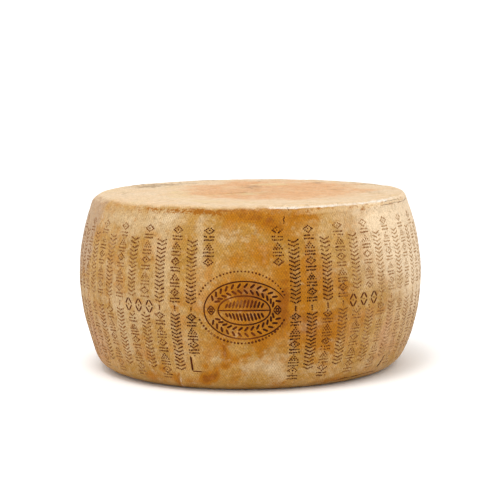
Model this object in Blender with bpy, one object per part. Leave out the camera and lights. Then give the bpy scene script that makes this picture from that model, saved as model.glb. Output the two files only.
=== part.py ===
"""A whole wheel of aged hard cheese, standing on its flat foot.

The wheel is one uncut piece: a barrel with bulging sides, a slightly dished top face with a
softly rounded rim, and a rounder shoulder at the foot. +Z is up and the origin is in the middle
of the flat foot. The front, which carries the round stamp, faces -Y.
"""

import math

import bmesh
import bpy

# Driving sizes of the wheel, in metres
HEIGHT = 0.228
BELLY_RADIUS = 0.225
BELLY_HEIGHT = 0.121
TOP_SHOULDER_RADIUS = 0.2030
FOOT_SHOULDER_RADIUS = 0.1955
BULGE_POWER = 1.95

# Rounded edges: how far each one reaches inwards and along the height
RIM_ROUNDING = 0.0097
FOOT_ROUNDING = 0.0200

# The top face sinks a little towards its middle
DISH_DEPTH = 0.0018
DISH_RADIUS = 0.165

# How the faces are spread over the wheel
SEGMENTS = 144
SIDE_RINGS = 15
ROUNDING_RINGS = 5
FACE_RADII = (0.178, 0.160, 0.135, 0.105, 0.070, 0.035)
FOOT_RADII = (0.060, 0.120)

# The unevenness of a wheel that was pressed and turned by hand
OVAL = 0.0009
OVAL_TURN = math.radians(35)
SIDE_WAVE = 0.0008
TOP_TILT = 0.0012
FOOT_SWELL = 0.0022
FOOT_SWELL_HEIGHT = 0.024

# A lip stands out along the right side of the rim, with a shallow groove under it
LIP_MIDDLE = math.radians(48)
LIP_SPREAD = math.radians(26)
LIP_OUT = 0.0012
LIP_BELOW_TOP = 0.0065
GROOVE_IN = 0.0011
GROOVE_BELOW_TOP = 0.0150
LIP_THICKNESS = 0.0042

RIND_COLOUR = (0.47, 0.26, 0.09, 1.0)
RIND_ROUGHNESS = 0.55


def side_radius(height):
    """Radius of the bulging side, before its two edges are rounded."""
    if height >= BELLY_HEIGHT:
        share = (height - BELLY_HEIGHT) / (HEIGHT - BELLY_HEIGHT)
        return BELLY_RADIUS - (BELLY_RADIUS - TOP_SHOULDER_RADIUS) * share**BULGE_POWER
    share = (BELLY_HEIGHT - height) / BELLY_HEIGHT
    return BELLY_RADIUS - (BELLY_RADIUS - FOOT_SHOULDER_RADIUS) * share**BULGE_POWER


def dish(radius):
    """How far the top face lies below its rim at this radius."""
    share = min(radius / DISH_RADIUS, 1.0)
    return DISH_DEPTH * (1.0 - share * share) ** 2


def profile():
    """(radius, height) points from the middle of the foot, up the side, to the middle of the top."""
    points = [(0.0, 0.0)]
    points += [(radius, 0.0) for radius in FOOT_RADII]

    for ring in range(ROUNDING_RINGS + 1):
        angle = math.pi / 2 * ring / ROUNDING_RINGS
        height = FOOT_ROUNDING * (1.0 - math.cos(angle))
        inset = FOOT_ROUNDING * (1.0 - math.sin(angle))
        points.append((side_radius(height) - inset, height))

    low, high = FOOT_ROUNDING, HEIGHT - RIM_ROUNDING
    for ring in range(1, SIDE_RINGS):
        height = low + (high - low) * ring / SIDE_RINGS
        points.append((side_radius(height), height))

    for ring in range(ROUNDING_RINGS + 1):
        angle = math.pi / 2 * ring / ROUNDING_RINGS
        height = HEIGHT - RIM_ROUNDING * (1.0 - math.sin(angle))
        inset = RIM_ROUNDING * (1.0 - math.cos(angle))
        points.append((side_radius(height) - inset, height))

    points += [(radius, HEIGHT - dish(radius)) for radius in FACE_RADII]
    points.append((0.0, HEIGHT - dish(0.0)))
    return points


def hump(distance, width):
    """1 at no distance, falling smoothly to nothing past about two widths."""
    return math.exp(-((distance / width) ** 2))


def out_of_round(azimuth, height):
    """How far the side stands out from the true barrel. Azimuth 0 is the front, 90 degrees is +X."""
    up = height / HEIGHT
    away = OVAL * math.cos(2 * (azimuth - OVAL_TURN))
    away += SIDE_WAVE * math.sin(3 * azimuth + 1.0) * math.sin(math.pi * up)
    away -= FOOT_SWELL * math.sin(azimuth) * hump(height - FOOT_ROUNDING / 2, FOOT_SWELL_HEIGHT)

    below = HEIGHT - height
    along = hump(azimuth - LIP_MIDDLE, LIP_SPREAD)
    away += along * LIP_OUT * hump(below - LIP_BELOW_TOP, LIP_THICKNESS)
    away -= along * GROOVE_IN * hump(below - GROOVE_BELOW_TOP, LIP_THICKNESS)
    return away


def settle(vertex):
    """Moves one vertex of the true barrel to where the uneven wheel has it. The foot stays flat."""
    x, y, z = vertex.co
    radius = math.hypot(x, y)
    if radius < 1e-9:
        return
    azimuth = math.atan2(x, -y)
    reach = min(radius / FOOT_SHOULDER_RADIUS, 1.0)
    grown = radius + out_of_round(azimuth, z) * reach**4
    tilt = TOP_TILT * math.sin(azimuth) * (radius / TOP_SHOULDER_RADIUS) * (z / HEIGHT) ** 3
    vertex.co = (x * grown / radius, y * grown / radius, z - tilt)


def rind_material():
    """Waxy golden rind."""
    material = bpy.data.materials.new("rind")
    material.use_nodes = True
    shader = material.node_tree.nodes["Principled BSDF"]
    shader.inputs["Base Color"].default_value = RIND_COLOUR
    shader.inputs["Roughness"].default_value = RIND_ROUGHNESS
    shader.inputs["Metallic"].default_value = 0.0
    return material


def cheese_wheel():
    """The wheel, its profile spun round the upright axis and then settled out of true."""
    mesh = bpy.data.meshes.new("cheese_wheel")
    shape = bmesh.new()
    points = [shape.verts.new((0.0, -radius, height)) for radius, height in profile()]
    edges = [shape.edges.new(pair) for pair in zip(points, points[1:])]
    bmesh.ops.spin(
        shape,
        geom=points + edges,
        cent=(0.0, 0.0, 0.0),
        axis=(0.0, 0.0, 1.0),
        angle=math.tau,
        steps=SEGMENTS,
        use_merge=True,
    )
    bmesh.ops.remove_doubles(shape, verts=shape.verts, dist=1e-5)
    for vertex in shape.verts:
        settle(vertex)
    bmesh.ops.recalc_face_normals(shape, faces=shape.faces)
    shape.to_mesh(mesh)
    shape.free()

    mesh.shade_smooth()
    mesh.materials.append(rind_material())
    wheel = bpy.data.objects.new("cheese_wheel", mesh)
    bpy.context.scene.collection.objects.link(wheel)
    return wheel


def clear_scene():
    """Removes whatever the scene started with."""
    for thing in list(bpy.data.objects):
        bpy.data.objects.remove(thing)


def main():
    clear_scene()
    cheese_wheel()


main()
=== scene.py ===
# %% [markdown]
# # A wheel of aged hard cheese
#
# The subject is a whole, uncut wheel of hard cheese that stands on its flat foot: a barrel about
# 450 mm across and 228 mm high. Its waxy rind is blotched from tan to orange, columns of pin
# pricks run round the side, and an oval stamp is pressed into the front. This lesson dresses the
# imported solid in five steps: the view, the rind, its finish, the marks, and the light.
#
# The imported model is the fixed frame. Its box is kept from straight after loading.

# %% Load the frame
import math

import bpy
import numpy as np
from mathutils import Matrix, Vector


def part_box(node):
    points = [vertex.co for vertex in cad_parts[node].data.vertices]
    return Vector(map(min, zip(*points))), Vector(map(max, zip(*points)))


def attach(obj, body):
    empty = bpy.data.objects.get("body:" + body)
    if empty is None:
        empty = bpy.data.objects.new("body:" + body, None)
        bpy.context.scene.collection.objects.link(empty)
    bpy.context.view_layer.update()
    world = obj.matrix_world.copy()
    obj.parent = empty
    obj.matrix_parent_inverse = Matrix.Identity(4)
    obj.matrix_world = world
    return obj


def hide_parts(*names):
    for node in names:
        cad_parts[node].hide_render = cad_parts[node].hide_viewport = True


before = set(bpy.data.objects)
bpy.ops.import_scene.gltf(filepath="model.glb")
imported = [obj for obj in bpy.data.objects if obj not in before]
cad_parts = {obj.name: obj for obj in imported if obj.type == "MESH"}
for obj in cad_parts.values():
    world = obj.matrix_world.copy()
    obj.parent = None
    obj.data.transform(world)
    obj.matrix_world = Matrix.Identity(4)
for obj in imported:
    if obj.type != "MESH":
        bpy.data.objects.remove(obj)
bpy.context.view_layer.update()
foot_corner, top_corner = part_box("cheese_wheel")
print("packed wheel, mm:", [round(1000 * side, 1) for side in top_corner - foot_corner])

# %% [markdown]
# ## The view
#
# A real photographer stands a few steps back with a long lens, so that the barrel keeps its true
# outline. A camera could be aimed with a Track To constraint. Here its turn is written out as
# three plain rotations, because the photograph leans a little to one side and a constraint
# would level it.

# %% Camera
CAMERA_PLACE = (0.0, -2.20934, 0.42519)
CAMERA_DOWN = math.radians(7.099)
CAMERA_ASIDE = math.radians(0.005)
CAMERA_LEAN = math.radians(-0.861)
CAMERA_LENS = 121.31
SENSOR_WIDTH = 36.0

camera_data = bpy.data.cameras.new("camera")
camera_data.lens = CAMERA_LENS
camera_data.sensor_width = SENSOR_WIDTH
camera = bpy.data.objects.new("camera", camera_data)
camera.matrix_world = (
    Matrix.Translation(CAMERA_PLACE)
    @ Matrix.Rotation(CAMERA_ASIDE, 4, "Z")
    @ Matrix.Rotation(math.pi / 2 - CAMERA_DOWN, 4, "X")
    @ Matrix.Rotation(CAMERA_LEAN, 4, "Z")
)
bpy.context.scene.collection.objects.link(camera)
bpy.context.scene.camera = camera
print("camera stands", round(math.hypot(*CAMERA_PLACE[:2]), 2), "m from the wheel")

# %% [markdown]
# ## The barrel
#
# The wheel gets its shape in a round mould and then bulges as it ages. Its outline from the foot
# to the middle of the top could be drawn as a curve and spun with the Screw modifier. Here the
# outline is a list of rings worked out by formula, because the marks need to ask later where the
# side is at any height.
#
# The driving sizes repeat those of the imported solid, so the two surfaces agree but for the relief.

# %% Driving sizes, in metres
HEIGHT = 0.228
BELLY_RADIUS = 0.225
BELLY_HEIGHT = 0.121
TOP_SHOULDER_RADIUS = 0.2030
FOOT_SHOULDER_RADIUS = 0.1955
BULGE_POWER = 1.95
RIM_ROUNDING = 0.0097
FOOT_ROUNDING = 0.0200
DISH_DEPTH = 0.0018
DISH_RADIUS = 0.165
MM = 0.001


def side_radius(height):
    """Belly radius less (belly - shoulder) times the share of the way to the edge, to a power."""
    rise = np.clip((height - BELLY_HEIGHT) / (HEIGHT - BELLY_HEIGHT), 0, 1)
    drop = np.clip((BELLY_HEIGHT - height) / BELLY_HEIGHT, 0, 1)
    above = (BELLY_RADIUS - TOP_SHOULDER_RADIUS) * rise**BULGE_POWER
    below = (BELLY_RADIUS - FOOT_SHOULDER_RADIUS) * drop**BULGE_POWER
    return BELLY_RADIUS - above - below


def dish(radius):
    """Depth of the sunk top: full depth times (1 - share squared) squared, share = r / dish radius."""
    share = np.minimum(radius / DISH_RADIUS, 1.0)
    return DISH_DEPTH * (1.0 - share**2) ** 2


# %% The rings
FOOT_RINGS = 6
ROUNDING_RINGS = 10
SIDE_RINGS = 84
TOP_RINGS = 27
COLUMNS_OF_GRID = 720
RING_GATHER = 0.08


def ring_outline():
    """Radius and height of every ring, closest together near the rim and near the foot."""
    turn = np.linspace(0, math.pi / 2, ROUNDING_RINGS + 1)
    foot_height = FOOT_ROUNDING * (1 - np.cos(turn))
    foot_edge = side_radius(foot_height) - FOOT_ROUNDING * (1 - np.sin(turn))
    foot_face = np.linspace(0, foot_edge[0], FOOT_RINGS + 1)[1:-1]

    share = np.linspace(0, 1, SIDE_RINGS + 1)[1:-1]
    gathered = share - RING_GATHER * np.sin(math.tau * share)
    side_height = FOOT_ROUNDING + (HEIGHT - RIM_ROUNDING - FOOT_ROUNDING) * gathered

    rim_height = HEIGHT - RIM_ROUNDING * (1 - np.sin(turn))
    rim_edge = side_radius(rim_height) - RIM_ROUNDING * (1 - np.cos(turn))
    top_face = np.linspace(rim_edge[-1], 0, TOP_RINGS + 1)[1:-1]

    radius = np.concatenate([foot_face, foot_edge, side_radius(side_height), rim_edge, top_face])
    height = np.concatenate(
        [foot_face * 0, foot_height, side_height, rim_height, HEIGHT - dish(top_face)]
    )
    return radius, height


ring_radius, ring_height = ring_outline()
first_side_ring = FOOT_RINGS - 1
last_side_ring = first_side_ring + 2 * ROUNDING_RINGS + SIDE_RINGS
grid_turn = np.arange(COLUMNS_OF_GRID) * math.tau / COLUMNS_OF_GRID
print("rings:", len(ring_radius), "of", COLUMNS_OF_GRID, "points")

# %% [markdown]
# ## Out of round
#
# A wheel is turned and rubbed by hand for years, so it is never a true barrel. It is a little
# oval, its foot swells to one side, the top leans, and a lip stands out along the right of the
# rim. Azimuth 0 is the front and 90 degrees is +X.

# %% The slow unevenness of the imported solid
OVAL = 0.0009
OVAL_TURN = math.radians(35)
SIDE_WAVE = 0.0008
TOP_TILT = 0.0012
FOOT_SWELL = 0.0022
FOOT_SWELL_HEIGHT = 0.024
LIP_MIDDLE = math.radians(48)
LIP_SPREAD = math.radians(26)
LIP_OUT = 0.0012
LIP_BELOW_TOP = 0.0065
GROOVE_IN = 0.0011
GROOVE_BELOW_TOP = 0.0150
LIP_THICKNESS = 0.0042


def hump(distance, width):
    """1 at no distance, falling as exp(-(distance / width) squared)."""
    return np.exp(-((distance / width) ** 2))


def turned_from(azimuth, place):
    """Angle from place to azimuth, taken the short way round."""
    return (azimuth - place + math.pi) % math.tau - math.pi


def out_of_round(azimuth, height):
    """How far the side stands out: oval, three-lobed wave, foot swell, lip and groove, added."""
    away = OVAL * np.cos(2 * (azimuth - OVAL_TURN))
    away += SIDE_WAVE * np.sin(3 * azimuth + 1.0) * np.sin(math.pi * height / HEIGHT)
    away -= FOOT_SWELL * np.sin(azimuth) * hump(height - FOOT_ROUNDING / 2, FOOT_SWELL_HEIGHT)

    below = HEIGHT - height
    along = hump(turned_from(azimuth, LIP_MIDDLE), LIP_SPREAD)
    away += along * LIP_OUT * hump(below - LIP_BELOW_TOP, LIP_THICKNESS)
    away -= along * GROOVE_IN * hump(below - GROOVE_BELOW_TOP, LIP_THICKNESS)
    return away


# %% [markdown]
# ## Relief
#
# The rind's own relief is low: soft hand-sized waves, small lumps, a chipped rim, the dent of the
# stamp, a fold at the foot, a ridge on the left and a rim that is crisper on the right. Blender's
# Displace modifier with a noise texture would give the lumps alone. Sums of sine waves in seeded
# directions give the same kind of lumps as numbers, which can fade out where the wheel rests.

# %% Waves in seeded directions
def ripples(points, seed, longest, shortest, waves=24):
    """Sum of sine waves of the place along random directions, scaled to about -1 to 1."""
    draw = np.random.default_rng(seed)
    way = draw.normal(size=(waves, 3))
    way /= np.linalg.norm(way, axis=1, keepdims=True)
    length = longest * (shortest / longest) ** draw.random(waves)
    phase = draw.random(waves) * math.tau
    total = np.zeros(points.shape[:-1])
    for step in range(waves):
        total += np.sin(points @ way[step] * math.tau / length[step] + phase[step])
    return total / math.sqrt(waves / 2) / 2


# %% Where the stamp, the fold, the ridge and the columns of marks are, in metres
STAMP_TURN = math.radians(-2.15)
STAMP_HEIGHT = 0.1052
STAMP_WIDE = 0.0487
STAMP_TALL = 0.0352
STAMP_DENT = 0.0007

FOLD_TURN = math.radians(-26.0)
FOLD_HEIGHT = 0.012
FOLD_TOP = 0.029
FOLD_SLANT = 0.30
FOLD_STEP = 0.0016

RIDGE_TURN = math.radians(-61.8)
RIDGE_HEIGHT = 0.2060
RIDGE_SLANT = 0.21
RIDGE_TALL = 0.020
RIDGE_WIDE = 0.0028
RIDGE_OUT = 0.0013

CRISP_TURN = math.radians(92)
CRISP_SPREAD = math.radians(40)
CRISP_OUT = 0.0020
SOFT_IN = 0.0011
RIM_CORNER_DEPTH, RIM_CORNER_TALL = 0.0028, 0.0045
RIM_CORNER_RADIUS, RIM_CORNER_WIDE = 0.2000, 0.0060

COLUMN_STEP = math.radians(5.29)
FIRST_COLUMN = math.radians(13.7)
COLUMN_COUNT = 63
HIGH_TOP, LOW_TOP = 0.2045, 0.1890
UPPER_END, LOWER_START = 0.1115, 0.1003
HIGH_FOOT, LOW_FOOT = 0.0270, 0.0140
MARK_HALF = 0.0057


def smooth(value, low, high):
    """0 below low, 1 above high, and 3 s squared - 2 s cubed between them."""
    share = np.clip((value - low) / (high - low), 0, 1)
    return share * share * (3 - 2 * share)


def stamp_share(azimuth, height):
    """Distance from the stamp's middle as a share of its oval: 0 in the middle, 1 on the oval."""
    aside = turned_from(azimuth, STAMP_TURN) * BELLY_RADIUS / STAMP_WIDE
    return np.hypot(aside, (height - STAMP_HEIGHT) / STAMP_TALL)


def past_fold(azimuth, height):
    """Distance to the right of the slanting fold, and a share that is 1 low down and 0 above it."""
    aside = turned_from(azimuth, FOLD_TURN) * FOOT_SHOULDER_RADIUS - FOLD_SLANT * (height - FOLD_HEIGHT)
    return aside, 1 - smooth(height, 0.7 * FOLD_TOP, FOLD_TOP)


def past_ridge(azimuth, height):
    """Distance to the right of the slanting ridge, and a share that is 1 at its middle height."""
    aside = turned_from(azimuth, RIDGE_TURN) * BELLY_RADIUS - RIDGE_SLANT * (height - RIDGE_HEIGHT)
    return aside, hump(height - RIDGE_HEIGHT, RIDGE_TALL)


def crispness(azimuth):
    """How far the rim's rounding stands out: one hump out on the right less one on the left."""
    right = CRISP_OUT * hump(turned_from(azimuth, CRISP_TURN), CRISP_SPREAD)
    return right - SOFT_IN * hump(turned_from(azimuth, -CRISP_TURN), CRISP_SPREAD)


def rim_corner(points, height):
    """1 in the middle of the rim's rounding: a hump of the depth times a hump of the radius."""
    radius = np.hypot(points[..., 0], points[..., 1])
    deep = hump(HEIGHT - height - RIM_CORNER_DEPTH, RIM_CORNER_TALL)
    return deep * hump(radius - RIM_CORNER_RADIUS, RIM_CORNER_WIDE)


WAVE_HIGH, LUMP_HIGH, CHIP_DEEP = 0.30 * MM, 0.10 * MM, 0.45 * MM


def relief(points, azimuth, height):
    """How far the rind stands off the barrel: waves, lumps, fold, ridge and rim, less the dents."""
    waves = WAVE_HIGH * ripples(points, 11, 0.070, 0.022)
    lumps = LUMP_HIGH * ripples(points, 12, 0.016, 0.006, 40)
    chips = CHIP_DEEP * np.abs(ripples(points, 13, 0.030, 0.006, 40))
    at_rim = hump(HEIGHT - height - 0.004, 0.004)
    away = waves + lumps - chips * at_rim

    inside = 1 - smooth(stamp_share(azimuth, height), 1.00, 1.12)
    away -= STAMP_DENT * inside

    bent, low = past_fold(azimuth, height)
    away += FOLD_STEP * smooth(bent, -0.0015, 0.0015) * hump(bent, 0.016) * low
    aside, near = past_ridge(azimuth, height)
    away += RIDGE_OUT * hump(aside, RIDGE_WIDE) * near
    away += crispness(azimuth) * rim_corner(points, height)
    return away * smooth(height, 0.0, FOOT_ROUNDING / 2)


# %% [markdown]
# ## The rind as one skin
#
# The skin is a grid: one parameter goes round the wheel and the other up the outline. Every ring
# is first placed on the true barrel, then grown by the slow unevenness, tilted, and pushed along
# the outline's own normal by the relief. All of it is whole-array arithmetic. The two poles, in
# the middle of the foot and of the top, are single points, so that the skin is closed.

# %% Place the grid's points
def up_and_round(azimuth, radius, height):
    """Point of the settled barrel: x = r sin a, y = -r cos a, grown outwards and tilted."""
    reach = np.minimum(radius / FOOT_SHOULDER_RADIUS, 1.0)
    grown = radius + out_of_round(azimuth, height) * reach**4
    lean = TOP_TILT * np.sin(azimuth) * (radius / TOP_SHOULDER_RADIUS) * (height / HEIGHT) ** 3
    return np.stack([grown * np.sin(azimuth), -grown * np.cos(azimuth), height - lean], axis=-1)


def unit(vectors):
    """The vectors, each divided by its own length."""
    return vectors / np.linalg.norm(vectors, axis=-1, keepdims=True)


def grid_normals(points):
    """Outward normals of a grid of rings: the step round crossed with the step up."""
    step_round = np.roll(points, -1, axis=1) - np.roll(points, 1, axis=1)
    return unit(np.cross(step_round, np.gradient(points, axis=0)))


azimuths = np.broadcast_to(grid_turn, (len(ring_radius), COLUMNS_OF_GRID))
heights = np.broadcast_to(ring_height[:, None], azimuths.shape)
radii = np.broadcast_to(ring_radius[:, None], azimuths.shape)
barrel = up_and_round(azimuths, radii, heights)
skin = barrel + grid_normals(barrel) * relief(barrel, azimuths, heights)[..., None]
skin_normals = grid_normals(skin)
foot_pole = (0.0, 0.0, 0.0)
top_pole = (0.0, 0.0, HEIGHT - DISH_DEPTH)
print("relief, mm:", round(float(np.abs(skin - barrel).max()) / MM, 2))


# %% Turn arrays into a mesh
def make_piece(name, points, *face_groups):
    """An object at the origin from points and arrays of corner numbers, three or four to a face."""
    corners = np.concatenate([faces.ravel() for faces in face_groups])
    sizes = np.concatenate([np.full(len(faces), faces.shape[1]) for faces in face_groups])
    starts = np.cumsum(sizes) - sizes
    mesh = bpy.data.meshes.new(name)
    mesh.vertices.add(len(points))
    mesh.vertices.foreach_set("co", np.asarray(points, np.float32).ravel())
    mesh.loops.add(len(corners))
    mesh.loops.foreach_set("vertex_index", corners.astype(np.int32))
    mesh.polygons.add(len(sizes))
    mesh.polygons.foreach_set("loop_start", starts.astype(np.int32))
    mesh.update(calc_edges=True)
    piece = bpy.data.objects.new(name, mesh)
    bpy.context.scene.collection.objects.link(piece)
    print(name, "has", int((sizes - 2).sum()), "triangles")
    return piece


def skin_faces(rings, columns):
    """Quads between neighbouring rings, and a fan of triangles round each of the two poles."""
    here = np.arange(rings * columns).reshape(rings, columns)
    right = np.roll(here, -1, axis=1)
    quads = np.stack([here[:-1], right[:-1], right[1:], here[1:]], axis=-1).reshape(-1, 4)
    foot = np.stack([np.full(columns, rings * columns), right[0], here[0]], axis=-1)
    top = np.stack([np.full(columns, rings * columns + 1), here[-1], right[-1]], axis=-1)
    return quads, foot, top


quads, foot_fan, top_fan = skin_faces(*azimuths.shape)
rind_points = np.concatenate([skin.reshape(-1, 3), [foot_pole, top_pole]])
rind = make_piece("rind", rind_points, quads, foot_fan, top_fan)
rind.data.shade_smooth()

# %% [markdown]
# ## Masks on the rind
#
# The colours of a rind have places: turmeric-orange stains gather at the stamp, the rim is
# browned in front, one patch under the stamp is pale, and the right side is bleached. Some of the
# colour is painted light: the right side is painted lighter lower down towards its far edge, and
# two patches low on the left are painted lighter, where the lamp's light is weak; the crease under
# the lip and a line beside the fold are painted shade; the rim's edge, the fold and the ridge carry
# painted highlights. Such places could be painted by hand in Vertex Paint. Here a patch is a soft
# oval, given by place, size and strength, and the stains' edges wander with ripples. The rim, the
# lip, the ash and the bleached and lit side are bands worked out from angle and height. All are
# kept on the mesh as named attributes that the material reads.

# %% Soft patches at their places
RAGGED = 0.30


def patch(azimuth, height, bend, place):
    """exp(-distance squared) from a place (degrees round, mm up, mm wide, mm tall, strength)."""
    turn, up, wide, tall, strength = place
    aside = turned_from(azimuth, math.radians(turn)) * BELLY_RADIUS / (wide * MM) + RAGGED * bend[0]
    rise = (height - up * MM) / (tall * MM) + RAGGED * bend[1]
    return strength * np.exp(-(aside**2) - rise**2)


def patches(azimuth, height, bend, places):
    """The patches at all the places, added."""
    return sum(patch(azimuth, height, bend, place) for place in places)


# %% Places of the orange stains, of the pale patches, two of them painted light, and of the rosy ones
ORANGE_PLACES = (
    (-2.0, 106, 52, 46, 1.08),
    (-1.0, 104, 34, 26, 0.45),
    (10.2, 116, 8, 26, 1.35),
    (11.5, 140, 12, 28, 0.60),
    (16.5, 138, 8, 62, 0.60),
    (21.5, 120, 10, 62, 0.55),
    (27.0, 86, 12, 46, 0.50),
    (17.0, 76, 26, 34, 0.55),
    (-4.5, 167, 12, 8, 0.60),
    (4.0, 169, 12, 10, 0.60),
    (-12.0, 78, 10, 10, 0.36),
    (-9.8, 64, 8, 8, 0.60),
    (-8.8, 52, 5, 9, 1.25),
    (-5.5, 45, 9, 5, 0.65),
    (-1.8, 48, 5, 4, 1.15),
    (2.6, 54, 4, 7, 1.05),
    (-9.5, 36, 8, 4, 1.20),
    (-12.0, 29, 4, 7, 1.05),
    (-15.5, 35, 5, 5, 0.65),
    (-14.0, 21, 9, 7, 1.45),
    (-16.5, 16, 7, 7, 1.40),
    (-5.0, 20, 9, 9, 0.40),
    (9.0, 11, 15, 3, 0.60),
    (-3.0, 216, 24, 9, 0.95),
    (4.0, 211, 20, 12, 1.00),
    (9.0, 203, 16, 20, 0.80),
    (18.0, 211, 22, 8, 0.60),
    (14.0, 198, 9, 20, 0.40),
    (37.5, 81, 4, 9, 0.80),
    (45.5, 93, 7, 4, 0.60),
    (31.0, 112, 14, 30, 0.40),
    (25.0, 64, 14, 26, 0.40),
    (-24.0, 106, 6, 6, 0.45),
    (-45.5, 135, 9, 36, 0.35),
    (-52.0, 74, 16, 8, 0.40),
    (-38.0, 41, 12, 5, 0.55),
    (-32.0, 27, 7, 10, 0.55),
    (-27.5, 14, 5, 10, 0.70),
    (-37.0, 14, 16, 7, 0.60),
    (-54.0, 24, 22, 8, 0.50),
    (-22.0, 14, 12, 6, 0.55),
    (30.0, 8, 26, 3, 0.70),
    (112.0, 120, 40, 46, 0.80),
    (160.0, 76, 40, 30, 0.95),
    (212.0, 130, 34, 50, 0.85),
    (258.0, 60, 50, 26, 0.75),
)
PALE_PLACES = (
    (3.0, 33, 27, 14, 0.85),
    (9.0, 30, 14, 17, 0.45),
    (5.0, 53, 18, 8, 0.40),
    (-13.0, 47, 7, 9, 0.45),
    (-1.5, 187, 7, 5, 0.40),
    (1.5, 203, 7, 6, 0.40),
    (-8.0, 190, 14, 16, 0.35),
    (-15.7, 178, 9, 34, 0.62),
    (-28.0, 168, 16, 60, 0.62),
    (-27.0, 210, 44, 12, 0.40),
    (-46.0, 208, 80, 22, 0.92),
    # The next two patches, low on the left, are painted light: paler colour where the side faces down
    # and gets less light.
    (-42.0, 104, 66, 56, 0.80),
    (-50.0, 46, 66, 34, 0.40),
    (26.0, 200, 20, 16, 0.40),
    (60.0, 150, 90, 60, 0.46),
    (22.0, 26, 28, 12, 0.55),
    (44.0, 24, 44, 9, 0.55),
    (112.0, 50, 40, 26, 0.70),
    (140.0, 170, 60, 34, 0.90),
    (172.0, 128, 40, 24, 0.55),
    (194.0, 50, 50, 24, 0.80),
    (240.0, 180, 60, 30, 0.90),
    (285.0, 110, 30, 40, 0.50),
)
ROSY_PLACES = (
    (53.0, 62, 46, 36, 1.05),
    (-68.0, 50, 34, 40, 1.00),
    (-57.0, 100, 12, 34, 0.30),
    (128.0, 60, 40, 30, 0.80),
    (205.0, 100, 50, 30, 0.70),
)


# %% Ash on the left, and on the right bleaching with painted light
ASH_MOST = 0.95
BLEACHED_FOOT = 0.20
PAINTED_LIGHT_FAR = 0.42


def ash(azimuth, height):
    """Grey-pink skin to the left of the ridge: a share of the distance past it times one of height."""
    beyond = -past_ridge(azimuth, height)[0]
    share = smooth(beyond, -0.003, 0.018) * (1 - smooth(beyond, 0.09, 0.16))
    return share * smooth(height, 0.100, 0.170) * ASH_MOST


def bleached_and_lit_side(azimuth, height):
    """The right side, bleached above, and painted lighter lower down on the far right where the lamp's
    light falls off: begins and ends by azimuth, a low share below and all of it above.
    """
    begins = smooth(azimuth, math.radians(21), math.radians(54))
    ends = 1 - smooth(azimuth, math.radians(84), math.radians(140))
    # The far share is painted light: the far right is paler lower down, where the lamp's light falls
    # off.
    far = smooth(azimuth, math.radians(46), math.radians(70))
    low = BLEACHED_FOOT + PAINTED_LIGHT_FAR * far * smooth(height, 0.040, 0.110)
    return begins * ends * (low + (1 - low) * smooth(height, 0.090, 0.190))


# %% Work out the patches
bend = [ripples(skin, seed, 0.120, 0.030, 24) for seed in (21, 22)]
orange_mask = patches(azimuths, heights, bend, ORANGE_PLACES)
pale_mask = patches(azimuths, heights, bend, PALE_PLACES)
rosy_mask = patches(azimuths, heights, bend, ROSY_PLACES)
print("orange mask up to", round(float(orange_mask.max()), 2))

# %% The browned rim and the top's blush
RIM_STAIN_MIDDLE = math.radians(-14)
RIM_STAIN_SPREAD = math.radians(25)
BLUSH_PLACE = (0.032, 0.022)
BLUSH_RADII = (0.138, 0.158)


def lip_share(azimuth):
    """1 along the lip on the right of the rim, 0 elsewhere."""
    starts = smooth(azimuth, math.radians(8), math.radians(34))
    return starts * (1 - smooth(azimuth, math.radians(70), math.radians(88)))


def lip_crease(azimuth):
    """How far below the top the crease under the lip runs: nearer the top towards the right."""
    return 0.0132 - 0.0048 * smooth(azimuth, math.radians(12), math.radians(58))


def rim_stain_and_shade(azimuth, height, bend):
    """Ragged brown band under the rim in front, specks on the lip, and painted shade in the crease under
    the lip and beside the fold, added.
    """
    along = 0.10 + 0.95 * hump(turned_from(azimuth, RIM_STAIN_MIDDLE), RIM_STAIN_SPREAD)
    depth = HEIGHT - height + 0.0012 * bend[0]
    band = along * smooth(depth, 0.0026, 0.0044) * (1 - smooth(depth, 0.0060, 0.0140))
    specks = 0.30 * hump(HEIGHT - height - 0.0052, 0.0020)
    far = smooth(azimuth, math.radians(40), math.radians(56))
    # Painted shade: a dark line in the crease under the lip.
    crease = (0.34 - 0.10 * far) * hump(HEIGHT - height - lip_crease(azimuth), 0.0013)
    bent, low = past_fold(azimuth, height)
    # Painted shade: a dark line along the left of the fold's step.
    beside = 0.75 * hump(bent + 0.0022, 0.0018) * low
    return band + lip_share(azimuth) * (specks + crease) + beside


def lip(azimuth, height):
    """The pale band of the lip: it begins under the edge and ends at the crease."""
    depth, crease = HEIGHT - height, lip_crease(azimuth)
    ends = 1 - smooth(depth, crease - 0.0030, crease)
    return lip_share(azimuth) * smooth(depth, 0.0036, 0.0070) * ends


def painted_highlight(azimuth, height, radius):
    """Painted highlights, nearly white lines: the edge of the rim on the right, the fold and the ridge.
    """
    along = smooth(azimuth, math.radians(-2), math.radians(14))
    along = along * (1 - smooth(azimuth, math.radians(52), math.radians(75)))
    on_rim = radius > TOP_SHOULDER_RADIUS - 2 * RIM_ROUNDING
    edge = along * hump(HEIGHT - height - 0.0020, 0.0017) * on_rim
    bent, low = past_fold(azimuth, height)
    aside, near = past_ridge(azimuth, height)
    return edge + 0.36 * hump(bent - 0.0012, 0.0012) * low + 0.24 * hump(aside, 0.0034) * near


def blush(points, bend):
    """The pink-orange disc on the top: 1 well inside its oval, 0 outside, with a ragged edge."""
    aside = (points[..., 0] - BLUSH_PLACE[0]) / BLUSH_RADII[0]
    back = (points[..., 1] - BLUSH_PLACE[1]) / BLUSH_RADII[1]
    return 1 - smooth(np.hypot(aside, back) + 0.10 * bend[0], 0.66, 1.12)


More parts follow.
